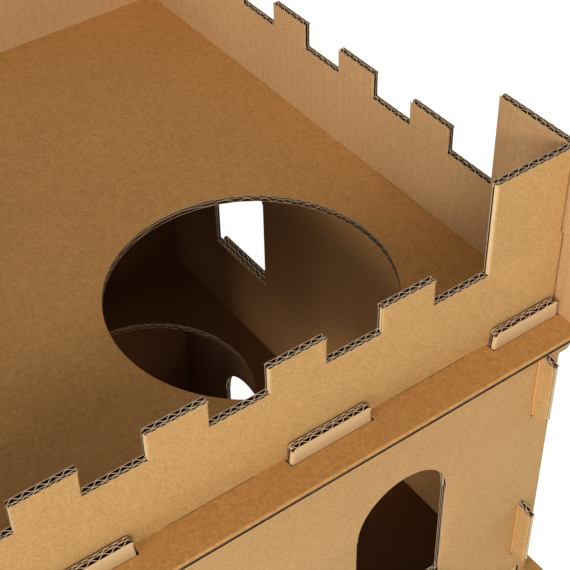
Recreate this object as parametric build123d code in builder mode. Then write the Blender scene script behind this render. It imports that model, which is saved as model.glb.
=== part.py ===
from build123d import *
import os

# A play castle of double-wall corrugated board.  Fifteen flat boards slot together with no glue:
# a base, two storeys of four walls with a floor between them, a top deck, and a parapet whose
# four panels cross at the corners.  Millimetres, +X right, +Y to the back, +Z up, with the
# origin on the ground under the middle of the top deck.

# The board, and the room that a board has on each side in the slot that takes it.
BOARD = 5.5
SLOT_GAP = 0.5

# The parapet: its clear inside width both ways, and the outline that every panel shares.
PARAPET_INSIDE = 486.0
MERLON_WIDTH = 40.0
CRENEL_WIDTH = 40.0
MERLON_COUNT = 4
CORNER_WIDTH = 60.5
CRENEL_TOP = 60.5
MERLON_TOP = 80.5
CORNER_TOP = 130.5
FLANGE = 20.0
PANEL_TAB = 60.0
PANEL_TAB_FROM_CORNER = 144.5
FRONT_PANEL_TAB_AT = (138.0, -24.0)

# The top deck and its round hole.
DECK_LEDGE = 28.0
DECK_HOLE_RADIUS = 99.5
DECK_HOLE_AT = (96.8, -116.6)

# Where the walls stand under the parapet.
SIDE_WALL_INSET = 5.5
FRONT_WALL_GAP = 1.5
BACK_WALL_INSET = 18.5
UPPER_HEIGHT = 278.0
LOWER_HEIGHT = 285.0

# The floor and the base board, which share one outline, and the hole in the floor.
FLOOR_LEDGE = 26.0
FLOOR_HOLE_RADIUS = 96.0
FLOOR_HOLE_AT = (110.0, 77.0)

# Tabs: those on top of the walls, and those on the side walls' ends.
TAB_OUT = 12.5
TOP_TAB = 61.0
TOP_TAB_TAPER = 2.0
CORNER_TAB = 56.0
FRONT_TAB_AT = (59.0, -107.0)
BACK_TAB_AT = (-107.0,)
SIDE_TAB = 62.0
SIDE_TAB_TAPER = 5.0
SIDE_TAB_FROM_TOP = 55.5
SIDE_TAB_FROM_FOOT = 66.0
TAB_CORNER_RADIUS = 2.5

# The ends of the front and back walls: how far they pass the side walls, and the ears on top.
WALL_END = 13.5
EAR_WIDTH = 8.5
EAR_HEIGHT = 35.5
EAR_RADIUS = 4.0

# Windows with a round head, the flap that each keeps along its sill, and the doorway.
WINDOW_WIDTH = 76.0
WINDOW_HEIGHT = 130.0
WINDOW_SILL = 77.5
WINDOW_FROM_CORNER = 116.5
FLAP_HEIGHT = 74.0
DOOR_WIDTH = 160.0
DOOR_HEIGHT = 205.0
DOOR_STEP = 12.0

# How far above or below its nominal height a face may lie and still be picked by that height.
FACE_MATCH = 0.01

# Levels, from the ground up.
base_top = BOARD
floor_top = base_top + LOWER_HEIGHT + BOARD
deck_top = floor_top + UPPER_HEIGHT + BOARD

# Planes of the boards, all measured from the parapet.
half_inside = PARAPET_INSIDE / 2
parapet_outer = half_inside + BOARD
panel_half_length = parapet_outer + FLANGE
crossing = half_inside + BOARD / 2
deck_half = parapet_outer + DECK_LEDGE
side_wall_outer = half_inside - SIDE_WALL_INSET
side_wall_inner = side_wall_outer - BOARD
side_wall_middle = side_wall_outer - BOARD / 2
front_wall_inner = -parapet_outer - FRONT_WALL_GAP
front_wall_outer = front_wall_inner - BOARD
back_wall_outer = half_inside - BACK_WALL_INSET
back_wall_inner = back_wall_outer - BOARD
floor_half_width = side_wall_outer + FLOOR_LEDGE
floor_front = -deck_half
floor_back = back_wall_outer + FLOOR_LEDGE
wall_half_length = side_wall_outer + WALL_END
slot_width = BOARD + 2 * SLOT_GAP

# Windows stand the same distance from the corner on every wall.
front_windows = (side_wall_middle - WINDOW_FROM_CORNER, WINDOW_FROM_CORNER - side_wall_middle)
side_windows = (
    back_wall_outer - BOARD / 2 - WINDOW_FROM_CORNER,
    front_wall_outer + BOARD / 2 + WINDOW_FROM_CORNER,
)

# The front walls' corner tabs stop at the flanges of the side panels.
corner_tab_at = half_inside - SLOT_GAP / 2 - CORNER_TAB / 2
front_tabs = [(at, TOP_TAB) for at in FRONT_TAB_AT]
front_tabs += [(side * corner_tab_at, CORNER_TAB) for side in (1, -1)]
back_tabs = [(at, TOP_TAB) for at in BACK_TAB_AT]
panel_tab_at = half_inside - PANEL_TAB_FROM_CORNER


def block(left, right, bottom, top, mode=Mode.ADD):
    """A rectangle given by its four sides."""
    with Locations(((left + right) / 2, (bottom + top) / 2)):
        Rectangle(right - left, top - bottom, mode=mode)


def top_tab(at, length, root, rise):
    """A tab that stands up from a wall's top edge, narrower at its tip."""
    half_root = length / 2
    half_tip = half_root - TOP_TAB_TAPER
    tip = root + rise
    foot_corners = [(at - half_root, root), (at + half_root, root)]
    tip_corners = [(at + half_tip, tip), (at - half_tip, tip)]
    Polygon(*foot_corners, *tip_corners, align=None)


def side_tab(middle, root, out):
    """A tab that stands out from a side wall's end edge; out is negative to the front."""
    half_root = SIDE_TAB / 2
    half_tip = half_root - SIDE_TAB_TAPER
    tip = root + out
    corners = [(root, middle - half_root), (tip, middle - half_tip)]
    corners += [(tip, middle + half_tip), (root, middle + half_root)]
    if out < 0:
        corners.reverse()
    Polygon(*corners, align=None)


def arch(at, sill, width, height):
    """Cut an opening with a half-round head."""
    spring = sill + height - width / 2
    block(at - width / 2, at + width / 2, sill, spring, mode=Mode.SUBTRACT)
    with Locations((at, spring)):
        Circle(width / 2, mode=Mode.SUBTRACT)


def flaps(at_list, foot):
    """The flap that hangs below each sill, doubling the wall there."""
    sill = foot + WINDOW_SILL
    for at in at_list:
        block(at - WINDOW_WIDTH / 2, at + WINDOW_WIDTH / 2, sill - FLAP_HEIGHT, sill)


def tab_heights(foot, height):
    """The middles of the two tabs on each end of a side wall."""
    return (foot + SIDE_TAB_FROM_FOOT, foot + height - SIDE_TAB_FROM_TOP)


def long_wall(foot, height, tabs, notches):
    """Outline of a front or back wall: ears, tabs on top, slots for the side walls, notches below."""
    top = foot + height
    block(-wall_half_length, wall_half_length, foot, top)
    ear_end = wall_half_length + EAR_WIDTH
    with Locations((0, top - EAR_HEIGHT / 2)):
        RectangleRounded(2 * ear_end, EAR_HEIGHT, EAR_RADIUS)
    for at, length in tabs:
        top_tab(at, length, top, BOARD + TAB_OUT)
    for side in (1, -1):
        for middle in tab_heights(foot, height):
            with Locations((side * side_wall_middle, middle)):
                Rectangle(slot_width, SIDE_TAB + 2 * SLOT_GAP, mode=Mode.SUBTRACT)
    for at, length in notches:
        half_notch = length / 2 + SLOT_GAP
        block(at - half_notch, at + half_notch, foot, foot + TAB_OUT + SLOT_GAP, mode=Mode.SUBTRACT)


def side_wall(foot, height):
    """Outline of a side wall, whose end tabs pass through the front and back walls."""
    block(front_wall_inner, back_wall_inner, foot, foot + height)
    for middle in tab_heights(foot, height):
        side_tab(middle, front_wall_inner, -BOARD - TAB_OUT)
        side_tab(middle, back_wall_inner, BOARD + TAB_OUT)
    for at in side_windows:
        arch(at, foot + WINDOW_SILL, WINDOW_WIDTH, WINDOW_HEIGHT)


def panel(tabs, slot_bottom, slot_top):
    """Outline of a parapet panel, with its battlements, deck tabs and corner slots."""
    block(-panel_half_length, panel_half_length, deck_top, deck_top + CRENEL_TOP)
    for side in (1, -1):
        near = side * (half_inside - CORNER_WIDTH)
        far = side * panel_half_length
        block(min(near, far), max(near, far), deck_top, deck_top + CORNER_TOP)
    with Locations((0, deck_top + MERLON_TOP / 2)):
        with GridLocations(MERLON_WIDTH + CRENEL_WIDTH, 1, MERLON_COUNT, 1):
            Rectangle(MERLON_WIDTH, MERLON_TOP)
    for at in tabs:
        block(at - PANEL_TAB / 2, at + PANEL_TAB / 2, deck_top - BOARD, deck_top)
    for side in (1, -1):
        middle = side * crossing
        block(middle - slot_width / 2, middle + slot_width / 2, slot_bottom, slot_top, mode=Mode.SUBTRACT)


def board_slot(at, length, near, far, upright=False):
    """Cut the slot in a flat board that takes a tab standing between near and far."""
    start = at - length / 2 - SLOT_GAP
    end = at + length / 2 + SLOT_GAP
    if upright:
        block(near - SLOT_GAP, far + SLOT_GAP, start, end, mode=Mode.SUBTRACT)
    else:
        block(start, end, near - SLOT_GAP, far + SLOT_GAP, mode=Mode.SUBTRACT)


def long_wall_slots():
    """Slots for the tabs of a front and a back wall."""
    for at, length in front_tabs:
        board_slot(at, length, front_wall_outer, front_wall_inner)
    for at, length in back_tabs:
        board_slot(at, length, back_wall_inner, back_wall_outer)


def soften_tab_tips(part, axis, tip):
    """Round the two free corners of every tab whose tip lies at one height along an axis."""
    tips = part.faces().filter_by(axis).filter_by_position(axis, tip - FACE_MATCH, tip + FACE_MATCH)
    across = Axis.Y if axis == Axis.Z else Axis.X
    edges = tips.edges().filter_by(across)
    fillet(edges, radius=TAB_CORNER_RADIUS)


# Base board: the ground floor, slotted for the feet of the front and back walls.
with BuildPart() as base_board:
    with BuildSketch(Plane.XY):
        block(-floor_half_width, floor_half_width, floor_front, floor_back)
        long_wall_slots()
    extrude(amount=BOARD)
base_board.part.label = "base_board"

# Lower storey.
with BuildPart() as level1_front:
    with BuildSketch(Plane.XZ.offset(-front_wall_inner)):
        long_wall(base_top, LOWER_HEIGHT, front_tabs, ())
        for at, length in front_tabs:
            block(at - length / 2, at + length / 2, 0, base_top)
        arch(0, base_top + DOOR_STEP, DOOR_WIDTH, DOOR_HEIGHT)
    extrude(amount=BOARD)
    soften_tab_tips(level1_front.part, Axis.Z, floor_top + TAB_OUT)
level1_front.part.label = "level1_front"

with BuildPart() as level1_back:
    with BuildSketch(Plane.XZ.offset(-back_wall_outer)):
        long_wall(base_top, LOWER_HEIGHT, back_tabs, ())
        for at, length in back_tabs:
            block(at - length / 2, at + length / 2, 0, base_top)
        for at in front_windows:
            arch(at, base_top + WINDOW_SILL, WINDOW_WIDTH, WINDOW_HEIGHT)
    extrude(amount=BOARD)
    with BuildSketch(Plane.XZ.offset(-back_wall_outer - BOARD)):
        flaps(front_windows, base_top)
    extrude(amount=BOARD)
    soften_tab_tips(level1_back.part, Axis.Z, floor_top + TAB_OUT)
level1_back.part.label = "level1_back"

with BuildPart() as level1_left:
    with BuildSketch(Plane.YZ.offset(-side_wall_outer)):
        side_wall(base_top, LOWER_HEIGHT)
    extrude(amount=BOARD)
    with BuildSketch(Plane.YZ.offset(-side_wall_outer - BOARD)):
        flaps(side_windows, base_top)
    extrude(amount=BOARD)
level1_left.part.label = "level1_left"

with BuildPart() as level1_right:
    with BuildSketch(Plane.YZ.offset(side_wall_inner)):
        side_wall(base_top, LOWER_HEIGHT)
    extrude(amount=BOARD)
    with BuildSketch(Plane.YZ.offset(side_wall_outer)):
        flaps(side_windows, base_top)
    extrude(amount=BOARD)
level1_right.part.label = "level1_right"

# Floor between the storeys.  The lower walls' tabs come up through it into the upper walls' feet.
with BuildPart() as level2_floor:
    with BuildSketch(Plane.XY.offset(floor_top - BOARD)):
        block(-floor_half_width, floor_half_width, floor_front, floor_back)
        long_wall_slots()
        with Locations(FLOOR_HOLE_AT):
            Circle(FLOOR_HOLE_RADIUS, mode=Mode.SUBTRACT)
    extrude(amount=BOARD)
level2_floor.part.label = "level2_floor"

# Upper storey.
with BuildPart() as level2_front:
    with BuildSketch(Plane.XZ.offset(-front_wall_inner)):
        long_wall(floor_top, UPPER_HEIGHT, front_tabs, front_tabs)
        for at in front_windows:
            arch(at, floor_top + WINDOW_SILL, WINDOW_WIDTH, WINDOW_HEIGHT)
    extrude(amount=BOARD)
    with BuildSketch(Plane.XZ.offset(-front_wall_outer)):
        flaps(front_windows, floor_top)
    extrude(amount=BOARD)
    soften_tab_tips(level2_front.part, Axis.Z, deck_top + TAB_OUT)
level2_front.part.label = "level2_front"

with BuildPart() as level2_back:
    with BuildSketch(Plane.XZ.offset(-back_wall_outer)):
        long_wall(floor_top, UPPER_HEIGHT, back_tabs, back_tabs)
        for at in front_windows:
            arch(at, floor_top + WINDOW_SILL, WINDOW_WIDTH, WINDOW_HEIGHT)
    extrude(amount=BOARD)
    with BuildSketch(Plane.XZ.offset(-back_wall_outer - BOARD)):
        flaps(front_windows, floor_top)
    extrude(amount=BOARD)
    soften_tab_tips(level2_back.part, Axis.Z, deck_top + TAB_OUT)
level2_back.part.label = "level2_back"

with BuildPart() as level2_left:
    with BuildSketch(Plane.YZ.offset(-side_wall_outer)):
        side_wall(floor_top, UPPER_HEIGHT)
    extrude(amount=BOARD)
    with BuildSketch(Plane.YZ.offset(-side_wall_outer - BOARD)):
        flaps(side_windows, floor_top)
    extrude(amount=BOARD)
level2_left.part.label = "level2_left"

with BuildPart() as level2_right:
    with BuildSketch(Plane.YZ.offset(side_wall_inner)):
        side_wall(floor_top, UPPER_HEIGHT)
    extrude(amount=BOARD)
    with BuildSketch(Plane.YZ.offset(side_wall_outer)):
        flaps(side_windows, floor_top)
    extrude(amount=BOARD)
level2_right.part.label = "level2_right"

# Top deck, slotted for the walls below and the parapet above.
with BuildPart() as top_deck:
    with BuildSketch(Plane.XY.offset(deck_top - BOARD)):
        Rectangle(2 * deck_half, 2 * deck_half)
        long_wall_slots()
        for at in FRONT_PANEL_TAB_AT:
            board_slot(at, PANEL_TAB, -parapet_outer, -half_inside)
        for at in (panel_tab_at, -panel_tab_at):
            board_slot(at, PANEL_TAB, half_inside, parapet_outer)
            board_slot(at, PANEL_TAB, half_inside, parapet_outer, upright=True)
            board_slot(at, PANEL_TAB, -parapet_outer, -half_inside, upright=True)
        with Locations(DECK_HOLE_AT):
            Circle(DECK_HOLE_RADIUS, mode=Mode.SUBTRACT)
    extrude(amount=BOARD)
top_deck.part.label = "top_deck"

# Parapet.  The front and back panels are slotted from the top and the side panels from below.
slot_level = deck_top + CORNER_TOP / 2
panel_top = deck_top + CORNER_TOP

with BuildPart() as parapet_front:
    with BuildSketch(Plane.XZ.offset(half_inside)):
        panel(FRONT_PANEL_TAB_AT, slot_level, panel_top)
    extrude(amount=BOARD)
parapet_front.part.label = "parapet_front"

with BuildPart() as parapet_back:
    with BuildSketch(Plane.XZ.offset(-parapet_outer)):
        panel((panel_tab_at, -panel_tab_at), slot_level, panel_top)
    extrude(amount=BOARD)
parapet_back.part.label = "parapet_back"

with BuildPart() as parapet_left:
    with BuildSketch(Plane.YZ.offset(-parapet_outer)):
        panel((panel_tab_at, -panel_tab_at), deck_top, slot_level)
    extrude(amount=BOARD)
parapet_left.part.label = "parapet_left"

with BuildPart() as parapet_right:
    with BuildSketch(Plane.YZ.offset(half_inside)):
        panel((panel_tab_at, -panel_tab_at), deck_top, slot_level)
    extrude(amount=BOARD)
parapet_right.part.label = "parapet_right"

boards = (
    base_board, level1_front, level1_back, level1_left, level1_right, level2_floor,
    level2_front, level2_back, level2_left, level2_right, top_deck,
    parapet_front, parapet_back, parapet_left, parapet_right,
)
os.makedirs("parts", exist_ok=True)
for board in boards:
    export_step(board.part, f"parts/{board.part.label}.step")
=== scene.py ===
import math

import bpy
from mathutils import Matrix, Vector, noise


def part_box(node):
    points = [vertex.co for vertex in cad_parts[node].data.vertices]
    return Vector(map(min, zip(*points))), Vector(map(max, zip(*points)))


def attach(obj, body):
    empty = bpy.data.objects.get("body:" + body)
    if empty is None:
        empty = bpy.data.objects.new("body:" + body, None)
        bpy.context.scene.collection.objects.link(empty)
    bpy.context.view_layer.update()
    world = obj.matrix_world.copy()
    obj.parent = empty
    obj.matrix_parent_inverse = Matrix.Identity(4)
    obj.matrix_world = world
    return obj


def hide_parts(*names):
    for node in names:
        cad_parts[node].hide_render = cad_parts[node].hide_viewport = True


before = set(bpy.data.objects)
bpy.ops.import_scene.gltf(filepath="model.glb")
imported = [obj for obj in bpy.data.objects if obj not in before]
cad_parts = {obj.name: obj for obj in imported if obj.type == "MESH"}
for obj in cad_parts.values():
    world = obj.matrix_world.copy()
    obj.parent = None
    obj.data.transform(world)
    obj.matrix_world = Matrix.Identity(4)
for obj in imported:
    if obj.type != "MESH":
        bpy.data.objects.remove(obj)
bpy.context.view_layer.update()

bpy.ops.object.select_all(action="DESELECT")

# ---------------------------------------------------------------------------------------------
# The stock: a sheet of double-wall corrugated board.  Three flat kraft liners hold a fine and a
# coarse fluted paper between them, glued at every crest.  It is made flat, its flutes along Y.
# ---------------------------------------------------------------------------------------------
base_low, base_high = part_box("base_board")
BOARD = base_high.z - base_low.z
SKIN = 0.00001
LINER = 0.00034
MEDIUM = 0.00044
GLUE = 0.00003
COARSE_PITCH = 0.0079
FINE_PITCH = 0.0063
COARSE_SHARE = 0.63
SHEET = 0.60
FLUTE_STEPS = 8
STEEPNESS = 0.18
DRIFT = 0.0006
DRIFTS_PER_METRE = 60
FINE_SEED = 1.3
COARSE_SEED = 7.7
SAME_PLACE = 0.00001
# The two flute colours are painted shade: a near-black brown for the shade deep in the flutes, on what is
# plain kraft.
FLUTE_PAINTED_SHADE_LIGHT = (0.055, 0.030, 0.014, 1.0)
FLUTE_PAINTED_SHADE_DARK = (0.03, 0.016, 0.008, 1.0)
TORN_FIBRES = 1500.0
TORN_PATCHES = 220.0
TORN_FIBRE_SHARE = 1.3
TORN_PATCH_SHARE = 0.9
TORN_ROUGHNESS = 0.9
TORN_DEPTH = 0.0002
SHINE = 0.25


class Signal:
    """A number that varies over a surface, so that shader maths can be written as sums."""

    def __init__(self, paper, socket):
        self.paper = paper
        self.socket = socket

    def maths(self, operation, first, second):
        return self.paper.node("ShaderNodeMath", {"operation": operation}, {0: first, 1: second})

    def __add__(self, other):
        return self.maths("ADD", self, other)

    def __sub__(self, other):
        return self.maths("SUBTRACT", self, other)

    def __rsub__(self, other):
        return self.maths("SUBTRACT", other, self)

    def __mul__(self, other):
        return self.maths("MULTIPLY", self, other)

    def sine(self):
        return self.maths("SINE", self, 0.0)

    def size(self):
        return self.maths("ABSOLUTE", self, 0.0)

    def larger(self, other):
        return self.maths("MAXIMUM", self, other)

    def clamped(self):
        return self.maths("MINIMUM", self.larger(0.0), 1.0)

    __radd__ = __add__
    __rmul__ = __mul__


class Paper:
    """One kraft material under construction."""

    def __init__(self, name):
        self.material = bpy.data.materials.new(name)
        self.material.use_nodes = True
        self.tree = self.material.node_tree
        self.tree.nodes.clear()

    def node(self, kind, settings=None, inputs=None, output=0):
        """Any shader node: its settings first, then the values or signals of its sockets."""
        made = self.tree.nodes.new(kind)
        for name, value in (settings or {}).items():
            setattr(made, name, value)
        for key, value in (inputs or {}).items():
            if isinstance(value, Signal):
                self.tree.links.new(value.socket, made.inputs[key])
            else:
                made.inputs[key].default_value = value
        return Signal(self, made.outputs[output]) if made.outputs else None

    def place(self):
        """The point of the surface, in the object's own coordinates."""
        return self.node("ShaderNodeTexCoord", output=3)

    def part(self, place, axis):
        """One coordinate of a place: 0, 1 or 2."""
        return self.node("ShaderNodeSeparateXYZ", None, {0: place}, output=axis)

    def noise(self, place, scale, detail, roughness=0.5):
        values = {"Vector": place, "Scale": scale, "Detail": detail, "Roughness": roughness}
        return self.node("ShaderNodeTexNoise", None, values)

    def blend(self, share, low, high):
        """A colour between two; sockets 6 and 7 are the Mix node's pair of colours."""
        values = {"Factor": share, 6: low, 7: high}
        return self.node("ShaderNodeMix", {"data_type": "RGBA"}, values, output=2)

    def finish(self, colour, roughness, relief, depth):
        bump = self.node("ShaderNodeBump", None, {"Strength": 1.0, "Distance": depth, "Height": relief})
        values = {"Base Color": colour, "Roughness": roughness, "Normal": bump, "Specular IOR Level": SHINE}
        surface = self.node("ShaderNodeBsdfPrincipled", None, values)
        self.node("ShaderNodeOutputMaterial", None, {"Surface": surface})
        return self.material


def cut_paper(name, light, dark):
    """Rough torn fibre, as on a cut edge and on the soft fluted paper."""
    paper = Paper(name)
    fibre = paper.noise(paper.place(), TORN_FIBRES, 3.0, 0.7)
    patch = paper.noise(paper.place(), TORN_PATCHES, 2.0)
    tone = 0.5 + (fibre - 0.5) * TORN_FIBRE_SHARE + (patch - 0.5) * TORN_PATCH_SHARE
    colour = paper.blend(tone.clamped(), dark, light)
    return paper.finish(colour, TORN_ROUGHNESS, fibre, TORN_DEPTH)


def pick(*things):
    """Select some objects, the first of them active."""
    bpy.ops.object.select_all(action="DESELECT")
    for thing in things:
        thing.select_set(True)
    bpy.context.view_layer.objects.active = things[0]


def modify(thing, kind, **settings):
    """Add one modifier and apply it."""
    modifier = thing.modifiers.new(kind.lower(), kind)
    for name, value in settings.items():
        setattr(modifier, name, value)
    pick(thing)
    bpy.ops.object.modifier_apply(modifier=modifier.name)


def flat_liner(name, middle, shown_side):
    """A flat liner; shown_side is 1 or -1 where its upper or lower face is a face of the board."""
    bpy.ops.mesh.primitive_plane_add(size=SHEET, location=(0, 0, middle))
    sheet = bpy.context.object
    sheet.name = name
    bpy.ops.object.transform_apply(location=True)
    modify(sheet, "SOLIDIFY", thickness=LINER, offset=0)
    # The hidden face keeps the first material, the fluting's painted shade.
    for face in sheet.data.polygons:
        face.material_index = 1 if face.normal.z * shown_side > 0.5 else 0
    return sheet


def fluted_paper(name, middle, room, pitch, seed):
    """A fluted paper that fills the room between two liners, its waves along X."""
    rise = room / 2 - MEDIUM / 2 + GLUE
    bpy.ops.mesh.primitive_grid_add(x_subdivisions=FLUTE_STEPS, y_subdivisions=1, size=1)
    sheet = bpy.context.object
    sheet.name = name
    sheet.scale = (pitch, SHEET, 1)
    bpy.ops.object.transform_apply(scale=True)
    for vertex in sheet.data.vertices:
        swing = math.sin(2 * math.pi * vertex.co.x / pitch)
        vertex.co.z = rise * swing * (1 - STEEPNESS * (1 - swing * swing))
    count = math.ceil(SHEET / pitch)
    modify(sheet, "ARRAY", count=count, use_merge_vertices=True, merge_threshold=SAME_PLACE)
    for vertex in sheet.data.vertices:
        vertex.co.x += DRIFT * noise.noise(Vector((vertex.co.x * DRIFTS_PER_METRE, seed, 0))) - SHEET / 2
        vertex.co.z += middle
    modify(sheet, "SOLIDIFY", thickness=MEDIUM, offset=0)
    return sheet


free_room = BOARD - 2 * SKIN - 3 * LINER
coarse_room = free_room * COARSE_SHARE
fine_room = free_room - coarse_room
half = BOARD / 2 - SKIN
fine_middle = -half + LINER + fine_room / 2
coarse_middle = half - LINER - coarse_room / 2
between = -half + LINER + fine_room + LINER / 2
stock = [
    flat_liner("stock_fine_liner", -half + LINER / 2, -1),
    fluted_paper("stock_fine_flutes", fine_middle, fine_room, FINE_PITCH, FINE_SEED),
    flat_liner("stock_middle_liner", between, 0),
    fluted_paper("stock_coarse_flutes", coarse_middle, coarse_room, COARSE_PITCH, COARSE_SEED),
    flat_liner("stock_coarse_liner", half - LINER / 2, 1),
]
# Painted shade: the fluted papers and the liners' hidden faces take this near-black material for the shade
# inside the board.
fluting_painted_shade = cut_paper("fluting_painted_shade", FLUTE_PAINTED_SHADE_LIGHT, FLUTE_PAINTED_SHADE_DARK)
for layer in stock:
    layer.data.materials.append(fluting_painted_shade)

# ---------------------------------------------------------------------------------------------
# The base board: the lowest floor, slotted for the feet of the walls.  Like every board it is die
# cut through all five papers at once: its flutes show open on the edges that cross them, and the
# edges along the flutes are squeezed by the blade.
# ---------------------------------------------------------------------------------------------
X = Vector((1, 0, 0))
Y = Vector((0, 1, 0))
Z = Vector((0, 0, 1))
DECK_LIGHT = (0.67, 0.34, 0.105, 1.0)
DECK_DARK = (0.44, 0.21, 0.056, 1.0)
DECK_CUT_LIGHT = (0.64, 0.43, 0.24, 1.0)
DECK_CUT_DARK = (0.37, 0.22, 0.11, 1.0)
SCUFFED = (0.66, 0.47, 0.25, 1.0)
CLOUDS = 9.0
CLOUD_SHARE = 0.5
MOTTLES = 160.0
MOTTLE_SHARE = 0.7
MOTTLE_RELIEF = 0.2
MOTTLE_ROUGHNESS = 0.2
GRAINS = 560.0
GRAIN_SHARE = 1.7
GRAIN_RELIEF = 0.1
FIBRES = 1300.0
FIBRE_STRETCH = 0.22
FIBRE_RELIEF = 0.25
WASHBOARD_TONE = 0.04
WASHBOARD_RELIEF = 0.4
LINER_ROUGHNESS = 0.72
LINER_DEPTH = 0.00012
# The rooms' box: inside it the inside faces keep their painted shade, past it they take the paper's own
# tones.
room_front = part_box("level2_front")[1].y - BOARD
room_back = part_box("level2_back")[0].y + BOARD
ROOM_MIDDLE = (room_front + room_back) / 2
ROOM_HALF_DEPTH = (room_back - room_front) / 2
ROOM_HALF_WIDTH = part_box("level2_right")[0].x + BOARD
DOORSTEP = 0.001


def liner_paper(name, light, dark, wave_axis, telegraph, deep=None, outdoors=None):
    """A liner's outer face.  The flutes behind it telegraph through, from 0, not at all, to 1.

    deep is (near, far, colour), a painted shade: the face darkens to a colour across its waves.  outdoors
    is (dark, light), the paper's tones past the walls, where a painted shade of dark colours stops."""
    paper = Paper(name)
    place = paper.place()
    across = paper.part(place, wave_axis)
    washboard = (across * (2 * math.pi / COARSE_PITCH)).sine()
    cloud = paper.noise(place, CLOUDS, 3.0)
    mottle = paper.noise(place, MOTTLES, 4.0, 0.6)
    grain = paper.noise(place, GRAINS, 2.0, 0.6)
    stretch = [1.0, 1.0, 1.0]
    stretch[wave_axis] = FIBRE_STRETCH
    stretched = paper.node("ShaderNodeMapping", None, {"Vector": place, "Scale": stretch})
    fibre = paper.noise(stretched, FIBRES, 3.0, 0.65)
    tone = (cloud - 0.5) * CLOUD_SHARE + (mottle - 0.5) * MOTTLE_SHARE + (grain - 0.5) * GRAIN_SHARE + fibre
    tone = (tone + washboard * (WASHBOARD_TONE * telegraph)).clamped()
    colour = paper.blend(tone, dark, light)
    # Painted shade: the face darkens to the given colour across its waves.
    if deep:
        near, far, shade = deep
        colour = paper.blend(((across - near) * (1 / (far - near))).clamped(), colour, shade)
    # Past the walls the face takes the paper's own tones; within them the dark colours' painted shade
    # stays.
    if outdoors:
        past_sides = paper.part(place, 0).size() - ROOM_HALF_WIDTH
        past_ends = (paper.part(place, 1) - ROOM_MIDDLE).size() - ROOM_HALF_DEPTH
        outside = (past_sides.larger(past_ends) * (1 / DOORSTEP)).clamped()
        colour = paper.blend(outside, colour, paper.blend(tone, *outdoors))
    scuff = paper.node("ShaderNodeAttribute", {"attribute_name": "scuff"}, output=2)
    colour = paper.blend(scuff, colour, SCUFFED)
    roughness = LINER_ROUGHNESS + (mottle - 0.5) * MOTTLE_ROUGHNESS
    relief = fibre * FIBRE_RELIEF + grain * GRAIN_RELIEF + mottle * MOTTLE_RELIEF
    relief = relief + washboard * (WASHBOARD_RELIEF * telegraph)
    return paper.finish(colour, roughness, relief, LINER_DEPTH)


MERGE = 0.000002


def die_for(node, edge_paper):
    """A closed copy of a CAD part, to cut the papers with."""
    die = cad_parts[node].copy()
    die.data = die.data.copy()
    die.parent = None
    die.matrix_world = Matrix.Identity(4)
    bpy.context.collection.objects.link(die)
    pick(die)
    bpy.ops.object.mode_set(mode="EDIT")
    bpy.ops.mesh.select_all(action="SELECT")
    bpy.ops.mesh.remove_doubles(threshold=MERGE)
    bpy.ops.object.mode_set(mode="OBJECT")
    die.data.materials.clear()
    die.data.materials.append(edge_paper)
    return die


def die_cut(die, middle, coarse_side, flutes_along, coarse_face, fine_face):
    """Lay a sheet of stock round a middle point and cut it; give back its five papers."""
    waves = flutes_along.cross(coarse_side)
    turn = Matrix((waves, flutes_along, coarse_side)).transposed().to_4x4()
    papers = []
    for layer in stock:
        paper = layer.copy()
        paper.data = layer.data.copy()
        bpy.context.collection.objects.link(paper)
        if "coarse_liner" in layer.name:
            paper.data.materials.append(coarse_face)
        if "fine_liner" in layer.name:
            paper.data.materials.append(fine_face)
        paper.matrix_world = Matrix.Translation(middle) @ turn
        pick(paper)
        bpy.ops.object.transform_apply(location=True, rotation=True, scale=True)
        modify(paper, "BOOLEAN", operation="INTERSECT", object=die, solver="MANIFOLD",
               material_mode="TRANSFER")
        papers.append(paper)
    return papers


BLUNT = 0.985
SHORTEST_CUT = 0.0135
SQUEEZE_LINES = (0.0003, 0.0007, 0.0014)
SQUEEZE = 0.28
FLAT_SQUEEZE = 0.46
SQUEEZE_CURVE = 1.5
SET_BACK = 0.0013
ROLL_END = -0.0004
ROLL_SHOULDER = 0.0014
ROLL_SHOULDER_PUSH = 0.6
ROLL_ROOM = 0.0006
ROLL_REACH = 0.0008
CORNER = 0.0012
TINY = 0.00002
TAB_FOOT = 0.0165
TAB_SCUFF = 0.85
FLAT_ENOUGH = 0.02


def blunt_cuts(die, waves, flutes_along, shortest):
    """The straight cuts that run with the flutes: way out, place, lowest and highest end."""
    cuts = set()
    for face in die.data.polygons:
        if abs(face.normal.dot(waves)) < BLUNT:
            continue
        way = Vector(round(part, 4) for part in face.normal).normalized()
        spots = [die.data.vertices[i].co for i in face.vertices]
        reach = [round(spot.dot(flutes_along), 5) for spot in spots]
        if max(reach) - min(reach) > shortest:
            cuts.add((*way, round(spots[0].dot(way), 5), min(reach), max(reach)))
    return [(Vector(cut[:3]), *cut[3:]) for cut in sorted(cuts)]


def slice_board(board, cuts, flutes_along):
    """Cut extra lines across a board beside and at the ends of its cuts, so that it can bend."""
    ends = {end + shift for way, place, low, high in cuts
            for end, shift in ((low, 0), (low, CORNER), (high, -CORNER), (high, 0))}
    beside = {(*way, place - depth) for way, place, low, high in cuts for depth in SQUEEZE_LINES}
    slices = [(flutes_along, end) for end in sorted(ends)]
    slices += [(Vector(way), place) for *way, place in sorted(beside)]
    pick(board)
    bpy.ops.object.mode_set(mode="EDIT")
    for across, place in slices:
        bpy.ops.mesh.select_all(action="SELECT")
        bpy.ops.mesh.bisect(plane_co=across * place, plane_no=across)
    bpy.ops.object.mode_set(mode="OBJECT")


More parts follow.
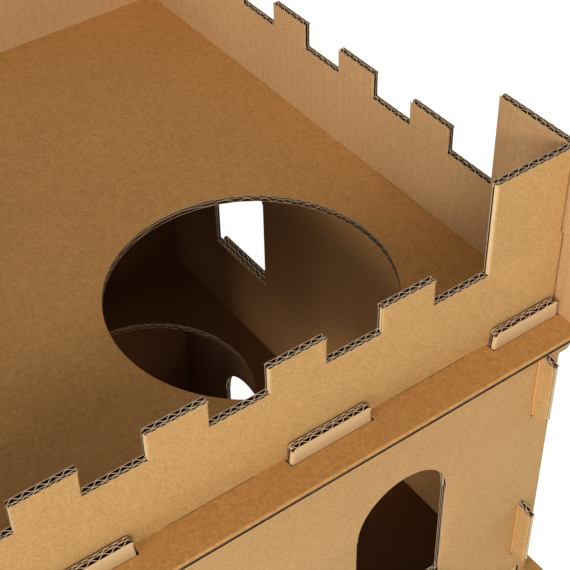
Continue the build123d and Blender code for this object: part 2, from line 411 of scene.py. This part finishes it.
def squeeze(board, cuts, flutes_along, outward, inner, coarse_outside, rolled, share, pale_tabs):
    """Squeeze the papers together along their blunt cuts, and roll the outer liner over some.

    The scuff attribute marks where that rubs the liner pale, and the tabs pushed through slots."""
    slice_board(board, cuts, flutes_along)
    stack = (-half, -half + LINER, between - LINER / 2, between + LINER / 2, half - LINER, half)
    scuff = board.data.attributes.new("scuff", "FLOAT", "POINT").data
    top = max(vertex.co.z for vertex in board.data.vertices)
    for vertex in board.data.vertices:
        spot = vertex.co
        along = spot.dot(flutes_along)
        if pale_tabs and along > top - TAB_FOOT:
            scuff[vertex.index].value = TAB_SCUFF
        near = [cut for cut in cuts if -TINY < cut[1] - spot.dot(cut[0]) < SQUEEZE_LINES[-1] - TINY
                and cut[2] + CORNER - TINY < along < cut[3] - CORNER + TINY]
        if not near:
            continue
        way, place, low, high = near[0]
        depth = place - spot.dot(way)
        height = spot.dot(outward) - inner
        layer = height // BOARD
        from_middle = height - (layer + 0.5) * BOARD
        closeness = 1 - depth / SQUEEZE_LINES[-1]
        squeezed = from_middle * (1 - share * closeness ** SQUEEZE_CURVE)
        pushed = 0.0
        in_stack = from_middle if coarse_outside == (layer == 0) else -from_middle
        is_liner = min(abs(in_stack - level) for level in stack) < SKIN
        is_rolled = layer == 0 and rolled(place, low, high)
        if is_rolled and from_middle > BOARD / 2 - LINER - 2 * SKIN:
            under = BOARD / 2 - SKIN - from_middle
            if depth < TINY:
                squeezed, pushed = ROLL_END, under
            elif depth < SQUEEZE_LINES[0] + TINY:
                squeezed, pushed = ROLL_SHOULDER, under * ROLL_SHOULDER_PUSH
            if depth < SQUEEZE_LINES[0] + TINY:
                scuff[vertex.index].value = 1.0
        elif not is_liner:
            pushed = SET_BACK * closeness
        elif is_rolled and from_middle > -ROLL_REACH:
            pushed = ROLL_ROOM * closeness
        vertex.co += outward * (squeezed - from_middle) - way * pushed
    bpy.ops.object.mode_set(mode="EDIT")
    bpy.ops.mesh.select_all(action="SELECT")
    bpy.ops.mesh.dissolve_limited(angle_limit=math.radians(FLAT_ENOUGH), delimit={"MATERIAL"})
    bpy.ops.object.mode_set(mode="OBJECT")


def nowhere(place, low, high):
    """No cut has the liner rolled over it."""
    return False


CREASE_ANGLE = math.radians(12)


def make_board(node, outward, coarse_outside, flutes_along, outer_face, inner_face, edge_paper,
               rolled=nowhere, flap=False, pale_tabs=False):
    """Cut one board, and its folded flaps where it has windows."""
    low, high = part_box(node)
    middle = (low + high) / 2
    axis = max(range(3), key=lambda i: abs(outward[i]))
    inner = low[axis] if outward[axis] > 0 else high[axis]
    middle[axis] = inner + outward[axis] * BOARD / 2
    lying = outward.z != 0
    coarse_side = outward if coarse_outside else -outward
    faces = (outer_face, inner_face) if coarse_outside else (inner_face, outer_face)
    die = die_for(node, edge_paper)
    shortest = SHEET / 2 if lying else SHORTEST_CUT
    cuts = blunt_cuts(die, flutes_along.cross(outward), flutes_along, shortest)
    papers = die_cut(die, middle, coarse_side, flutes_along, *faces)
    if flap:
        folded = middle + outward * BOARD
        papers += die_cut(die, folded, -coarse_side, flutes_along, outer_face, outer_face)
    bpy.data.objects.remove(die)
    pick(*papers)
    bpy.ops.object.join()
    board = bpy.context.object
    board.name = node + "_card"
    squeeze(board, cuts, flutes_along, outward, inner * outward[axis], coarse_outside, rolled,
            FLAT_SQUEEZE if lying else SQUEEZE, pale_tabs)
    bpy.ops.object.shade_smooth_by_angle(angle=CREASE_ANGLE)
    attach(board, "root")
    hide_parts(node)


deck_liner = liner_paper("deck_liner", DECK_LIGHT, DECK_DARK, 1, 0.0)
deck_edge = cut_paper("deck_cut_edge", DECK_CUT_LIGHT, DECK_CUT_DARK)
make_board("base_board", Z, False, X, deck_liner, deck_liner, deck_edge)

# ---------------------------------------------------------------------------------------------
# The lower storey: four walls that stand in the base board's slots and lock through one another
# by tabs.  A window is cut on three sides and its flap folded down outside; the front has a door.
# ---------------------------------------------------------------------------------------------
WALL_LIGHT = (0.545, 0.325, 0.130, 1.0)
WALL_DARK = (0.37, 0.207, 0.074, 1.0)
# Painted shade: the two inside colours are a dark brown for the shade in the rooms, not a darker paper.
INSIDE_PAINTED_SHADE_LIGHT = (0.17, 0.068, 0.018, 1.0)
INSIDE_PAINTED_SHADE_DARK = (0.10, 0.036, 0.009, 1.0)
# Painted light and shade: the two room colours paint the right walls' inner faces paler, for the light that
# falls in on them, and the ramp after them paints them darker towards the back.
ROOM_PAINTED_LIT_LIGHT = (0.88, 0.45, 0.165, 1.0)
ROOM_PAINTED_LIT_DARK = (0.62, 0.28, 0.09, 1.0)
ROOM_PAINTED_SHADE = (-0.03, 0.13, INSIDE_PAINTED_SHADE_DARK)
CUT_LIGHT = (1.0, 0.76, 0.49, 1.0)
CUT_DARK = (0.85, 0.58, 0.34, 1.0)
SMOOTH = 0.1
RIPPLED = 0.6
TAB_RISE = 0.0115
past_walls = (WALL_DARK, WALL_LIGHT)
cut_edge = cut_paper("cut_edge", CUT_LIGHT, CUT_DARK)
wall_x = liner_paper("wall_liner_x", WALL_LIGHT, WALL_DARK, 0, SMOOTH)
wall_y = liner_paper("wall_liner_y", WALL_LIGHT, WALL_DARK, 1, SMOOTH)
# Painted shade: the inner faces are dark within the rooms and take the wall's own tones past the walls.
painted_shade_inside_x = liner_paper("inside_liner_painted_shade_x", INSIDE_PAINTED_SHADE_LIGHT, INSIDE_PAINTED_SHADE_DARK, 0, RIPPLED, None, past_walls)
painted_shade_inside_y = liner_paper("inside_liner_painted_shade_y", INSIDE_PAINTED_SHADE_LIGHT, INSIDE_PAINTED_SHADE_DARK, 1, RIPPLED, None, past_walls)
# Painted light and shade: the right walls' inner faces, paler near the front and darkening towards the
# back.
painted_light_inside_y = liner_paper("right_inside_painted_light_y", ROOM_PAINTED_LIT_LIGHT, ROOM_PAINTED_LIT_DARK, 1, RIPPLED, ROOM_PAINTED_SHADE, past_walls)


def tab_ends(node, axis):
    """The cuts that end a wall's tabs: those at its own two sides, and those above its boards."""
    low_corner, high_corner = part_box(node)
    sides = (abs(low_corner[axis]), abs(high_corner[axis]))

    def is_end(place, low, high):
        return min(abs(abs(place) - side) for side in sides) < TINY or high > high_corner.z - TAB_RISE

    return is_end


def make_storey(storey, front_windows):
    """The four walls of a storey; its front has windows with flaps, or a door without."""
    walls = [
        ("_front", -Y, 0, wall_x, painted_shade_inside_x, front_windows),
        ("_back", Y, 0, wall_x, painted_shade_inside_x, True),
        ("_left", -X, 1, wall_y, painted_shade_inside_y, True),
        ("_right", X, 1, wall_y, painted_light_inside_y, True),
    ]
    for side, outward, axis, outside, inside, windows in walls:
        node = storey + side
        ends = tab_ends(node, axis)
        make_board(node, outward, True, Z, outside, inside, cut_edge, ends, windows, pale_tabs=True)


make_storey("level1", False)

# ---------------------------------------------------------------------------------------------
# The floor between the storeys: one board with a round hole to climb through, held on the tabs
# of the lower walls, and reaching past them as a narrow ledge.
# ---------------------------------------------------------------------------------------------
past_floor = (DECK_DARK, DECK_LIGHT)
# Painted shade: the floor is dark brown within the walls and has the deck's tones on the ledge past them.
floor_liner_painted_shade = liner_paper("floor_liner_painted_shade", INSIDE_PAINTED_SHADE_LIGHT, INSIDE_PAINTED_SHADE_DARK, 0, RIPPLED, None, past_floor)
make_board("level2_floor", Z, False, Y, floor_liner_painted_shade, floor_liner_painted_shade, deck_edge)

# ---------------------------------------------------------------------------------------------
# The upper storey: four more walls of the same pattern, with two arched windows and two flaps
# each, also in the front.  Their feet stand in the floor and their tabs carry the top deck.
# ---------------------------------------------------------------------------------------------
make_storey("level2", True)

# ---------------------------------------------------------------------------------------------
# The top deck: the widest board, with a round hole and slots for the tabs of the walls below.
# Its upper face is smooth new kraft, and its long edges are squeezed shut by the cutting blade.
# ---------------------------------------------------------------------------------------------
# Painted shade: the deck's underside is dark brown over the rooms and has the deck's tones past the walls.
under_deck_painted_shade = liner_paper("under_deck_painted_shade", INSIDE_PAINTED_SHADE_LIGHT, INSIDE_PAINTED_SHADE_DARK, 1, RIPPLED, None, past_floor)
make_board("top_deck", Z, False, X, deck_liner, under_deck_painted_shade, deck_edge)

# ---------------------------------------------------------------------------------------------
# The battlements: four crenellated panels of paler kraft, halved into each other at the corners
# and standing on the deck.  The front one has its outer liner rolled over its upright cuts.
# ---------------------------------------------------------------------------------------------
PANEL_LIGHT = (0.585, 0.345, 0.127, 1.0)
PANEL_DARK = (0.40, 0.215, 0.070, 1.0)
BACK_LIGHT = (0.595, 0.36, 0.163, 1.0)
BACK_DARK = (0.415, 0.23, 0.094, 1.0)
WASHBOARDED = 1.0
panel_x = liner_paper("panel_liner_x", PANEL_LIGHT, PANEL_DARK, 0, SMOOTH)
panel_y = liner_paper("panel_liner_y", PANEL_LIGHT, PANEL_DARK, 1, SMOOTH)
panel_back_x = liner_paper("panel_back_x", BACK_LIGHT, BACK_DARK, 0, WASHBOARDED)
panel_back_y = liner_paper("panel_back_y", BACK_LIGHT, BACK_DARK, 1, WASHBOARDED)


def everywhere(place, low, high):
    """Every upright cut has the liner rolled over it."""
    return True


make_board("parapet_front", -Y, False, Z, panel_x, panel_back_x, cut_edge, everywhere)
make_board("parapet_back", Y, False, Z, panel_x, panel_back_x, cut_edge)
make_board("parapet_left", -X, False, Z, panel_y, panel_back_y, cut_edge)
make_board("parapet_right", X, False, Z, panel_y, panel_back_y, cut_edge)
for layer in stock:
    bpy.data.objects.remove(layer)

# ---------------------------------------------------------------------------------------------
# The studio: a plain pale floor and sky, one soft light in front and one, wider, to the left,
# and a camera that looks down on the castle's near right corner.
# ---------------------------------------------------------------------------------------------
FLOOR_SIZE = 40
FLOOR_LIGHTING = 0.18
FLOOR_SEEN = 0.74
SKY_LIGHTING = 0.30
SKY_SEEN = 1.0
WHITE = (1.0, 1.0, 1.0, 1.0)
OFF_WHITE = (0.9, 0.9, 0.9, 1.0)
WARM = (1.0, 0.985, 0.96)
UPPER_STOREY = (0, 0, 0.6)
CAMERA_PLACE = (-0.27927, -0.68974, 1.21348)
CAMERA_TURN = (48.1174, 1.3888, -35.4871)
scene = bpy.context.scene
scene.view_settings.view_transform = "Standard"

bpy.ops.mesh.primitive_plane_add(size=FLOOR_SIZE)
floor = bpy.context.object
floor.name = "studio_floor"
white = Paper("studio_white")
glows = []
for strength in (FLOOR_LIGHTING, FLOOR_SEEN):
    glows.append(white.node("ShaderNodeBsdfPrincipled", None, {
        "Base Color": OFF_WHITE, "Roughness": 0.9, "Emission Color": WHITE, "Emission Strength": strength,
    }))
seen = white.node("ShaderNodeLightPath")
bright = white.node("ShaderNodeMixShader", None, {0: seen, 1: glows[0], 2: glows[1]})
white.node("ShaderNodeOutputMaterial", None, {"Surface": bright})
floor.data.materials.append(white.material)

sky = bpy.data.worlds.new("studio_sky")
scene.world = sky
sky.use_nodes = True
air = sky.node_tree
shown = air.nodes["Background"]
lit = air.nodes.new("ShaderNodeBackground")
rays = air.nodes.new("ShaderNodeLightPath")
share = air.nodes.new("ShaderNodeMixShader")
for background, strength in ((shown, SKY_SEEN), (lit, SKY_LIGHTING)):
    background.inputs["Color"].default_value = WHITE
    background.inputs["Strength"].default_value = strength
air.links.new(rays.outputs["Is Camera Ray"], share.inputs[0])
air.links.new(lit.outputs[0], share.inputs[1])
air.links.new(shown.outputs[0], share.inputs[2])
air.links.new(share.outputs[0], air.nodes["World Output"].inputs["Surface"])


def soft_light(name, place, width, height, power):
    """A rectangular soft light, turned to the upper storey."""
    bpy.ops.object.light_add(type="AREA", location=place)
    lamp = bpy.context.object
    lamp.name = name
    lamp.data.shape = "RECTANGLE"
    lamp.data.size = width
    lamp.data.size_y = height
    lamp.data.energy = power
    lamp.data.color = WARM
    lamp.rotation_euler = (Vector(UPPER_STOREY) - Vector(place)).to_track_quat("-Z", "Y").to_euler()


soft_light("key_light", (-1.15, -2.7, 1.78), 1.2, 0.6, 53)
soft_light("left_light", (-2.6, -0.7, 1.1), 2.2, 1.0, 50)

bpy.ops.object.camera_add(location=CAMERA_PLACE)
camera = bpy.context.object
camera.rotation_euler = [math.radians(angle) for angle in CAMERA_TURN]
camera.data.lens = 88.496
camera.data.sensor_width = 36
camera.data.shift_x = 0.0300
camera.data.shift_y = -0.0319
camera.data.clip_start = 0.01
scene.camera = camera
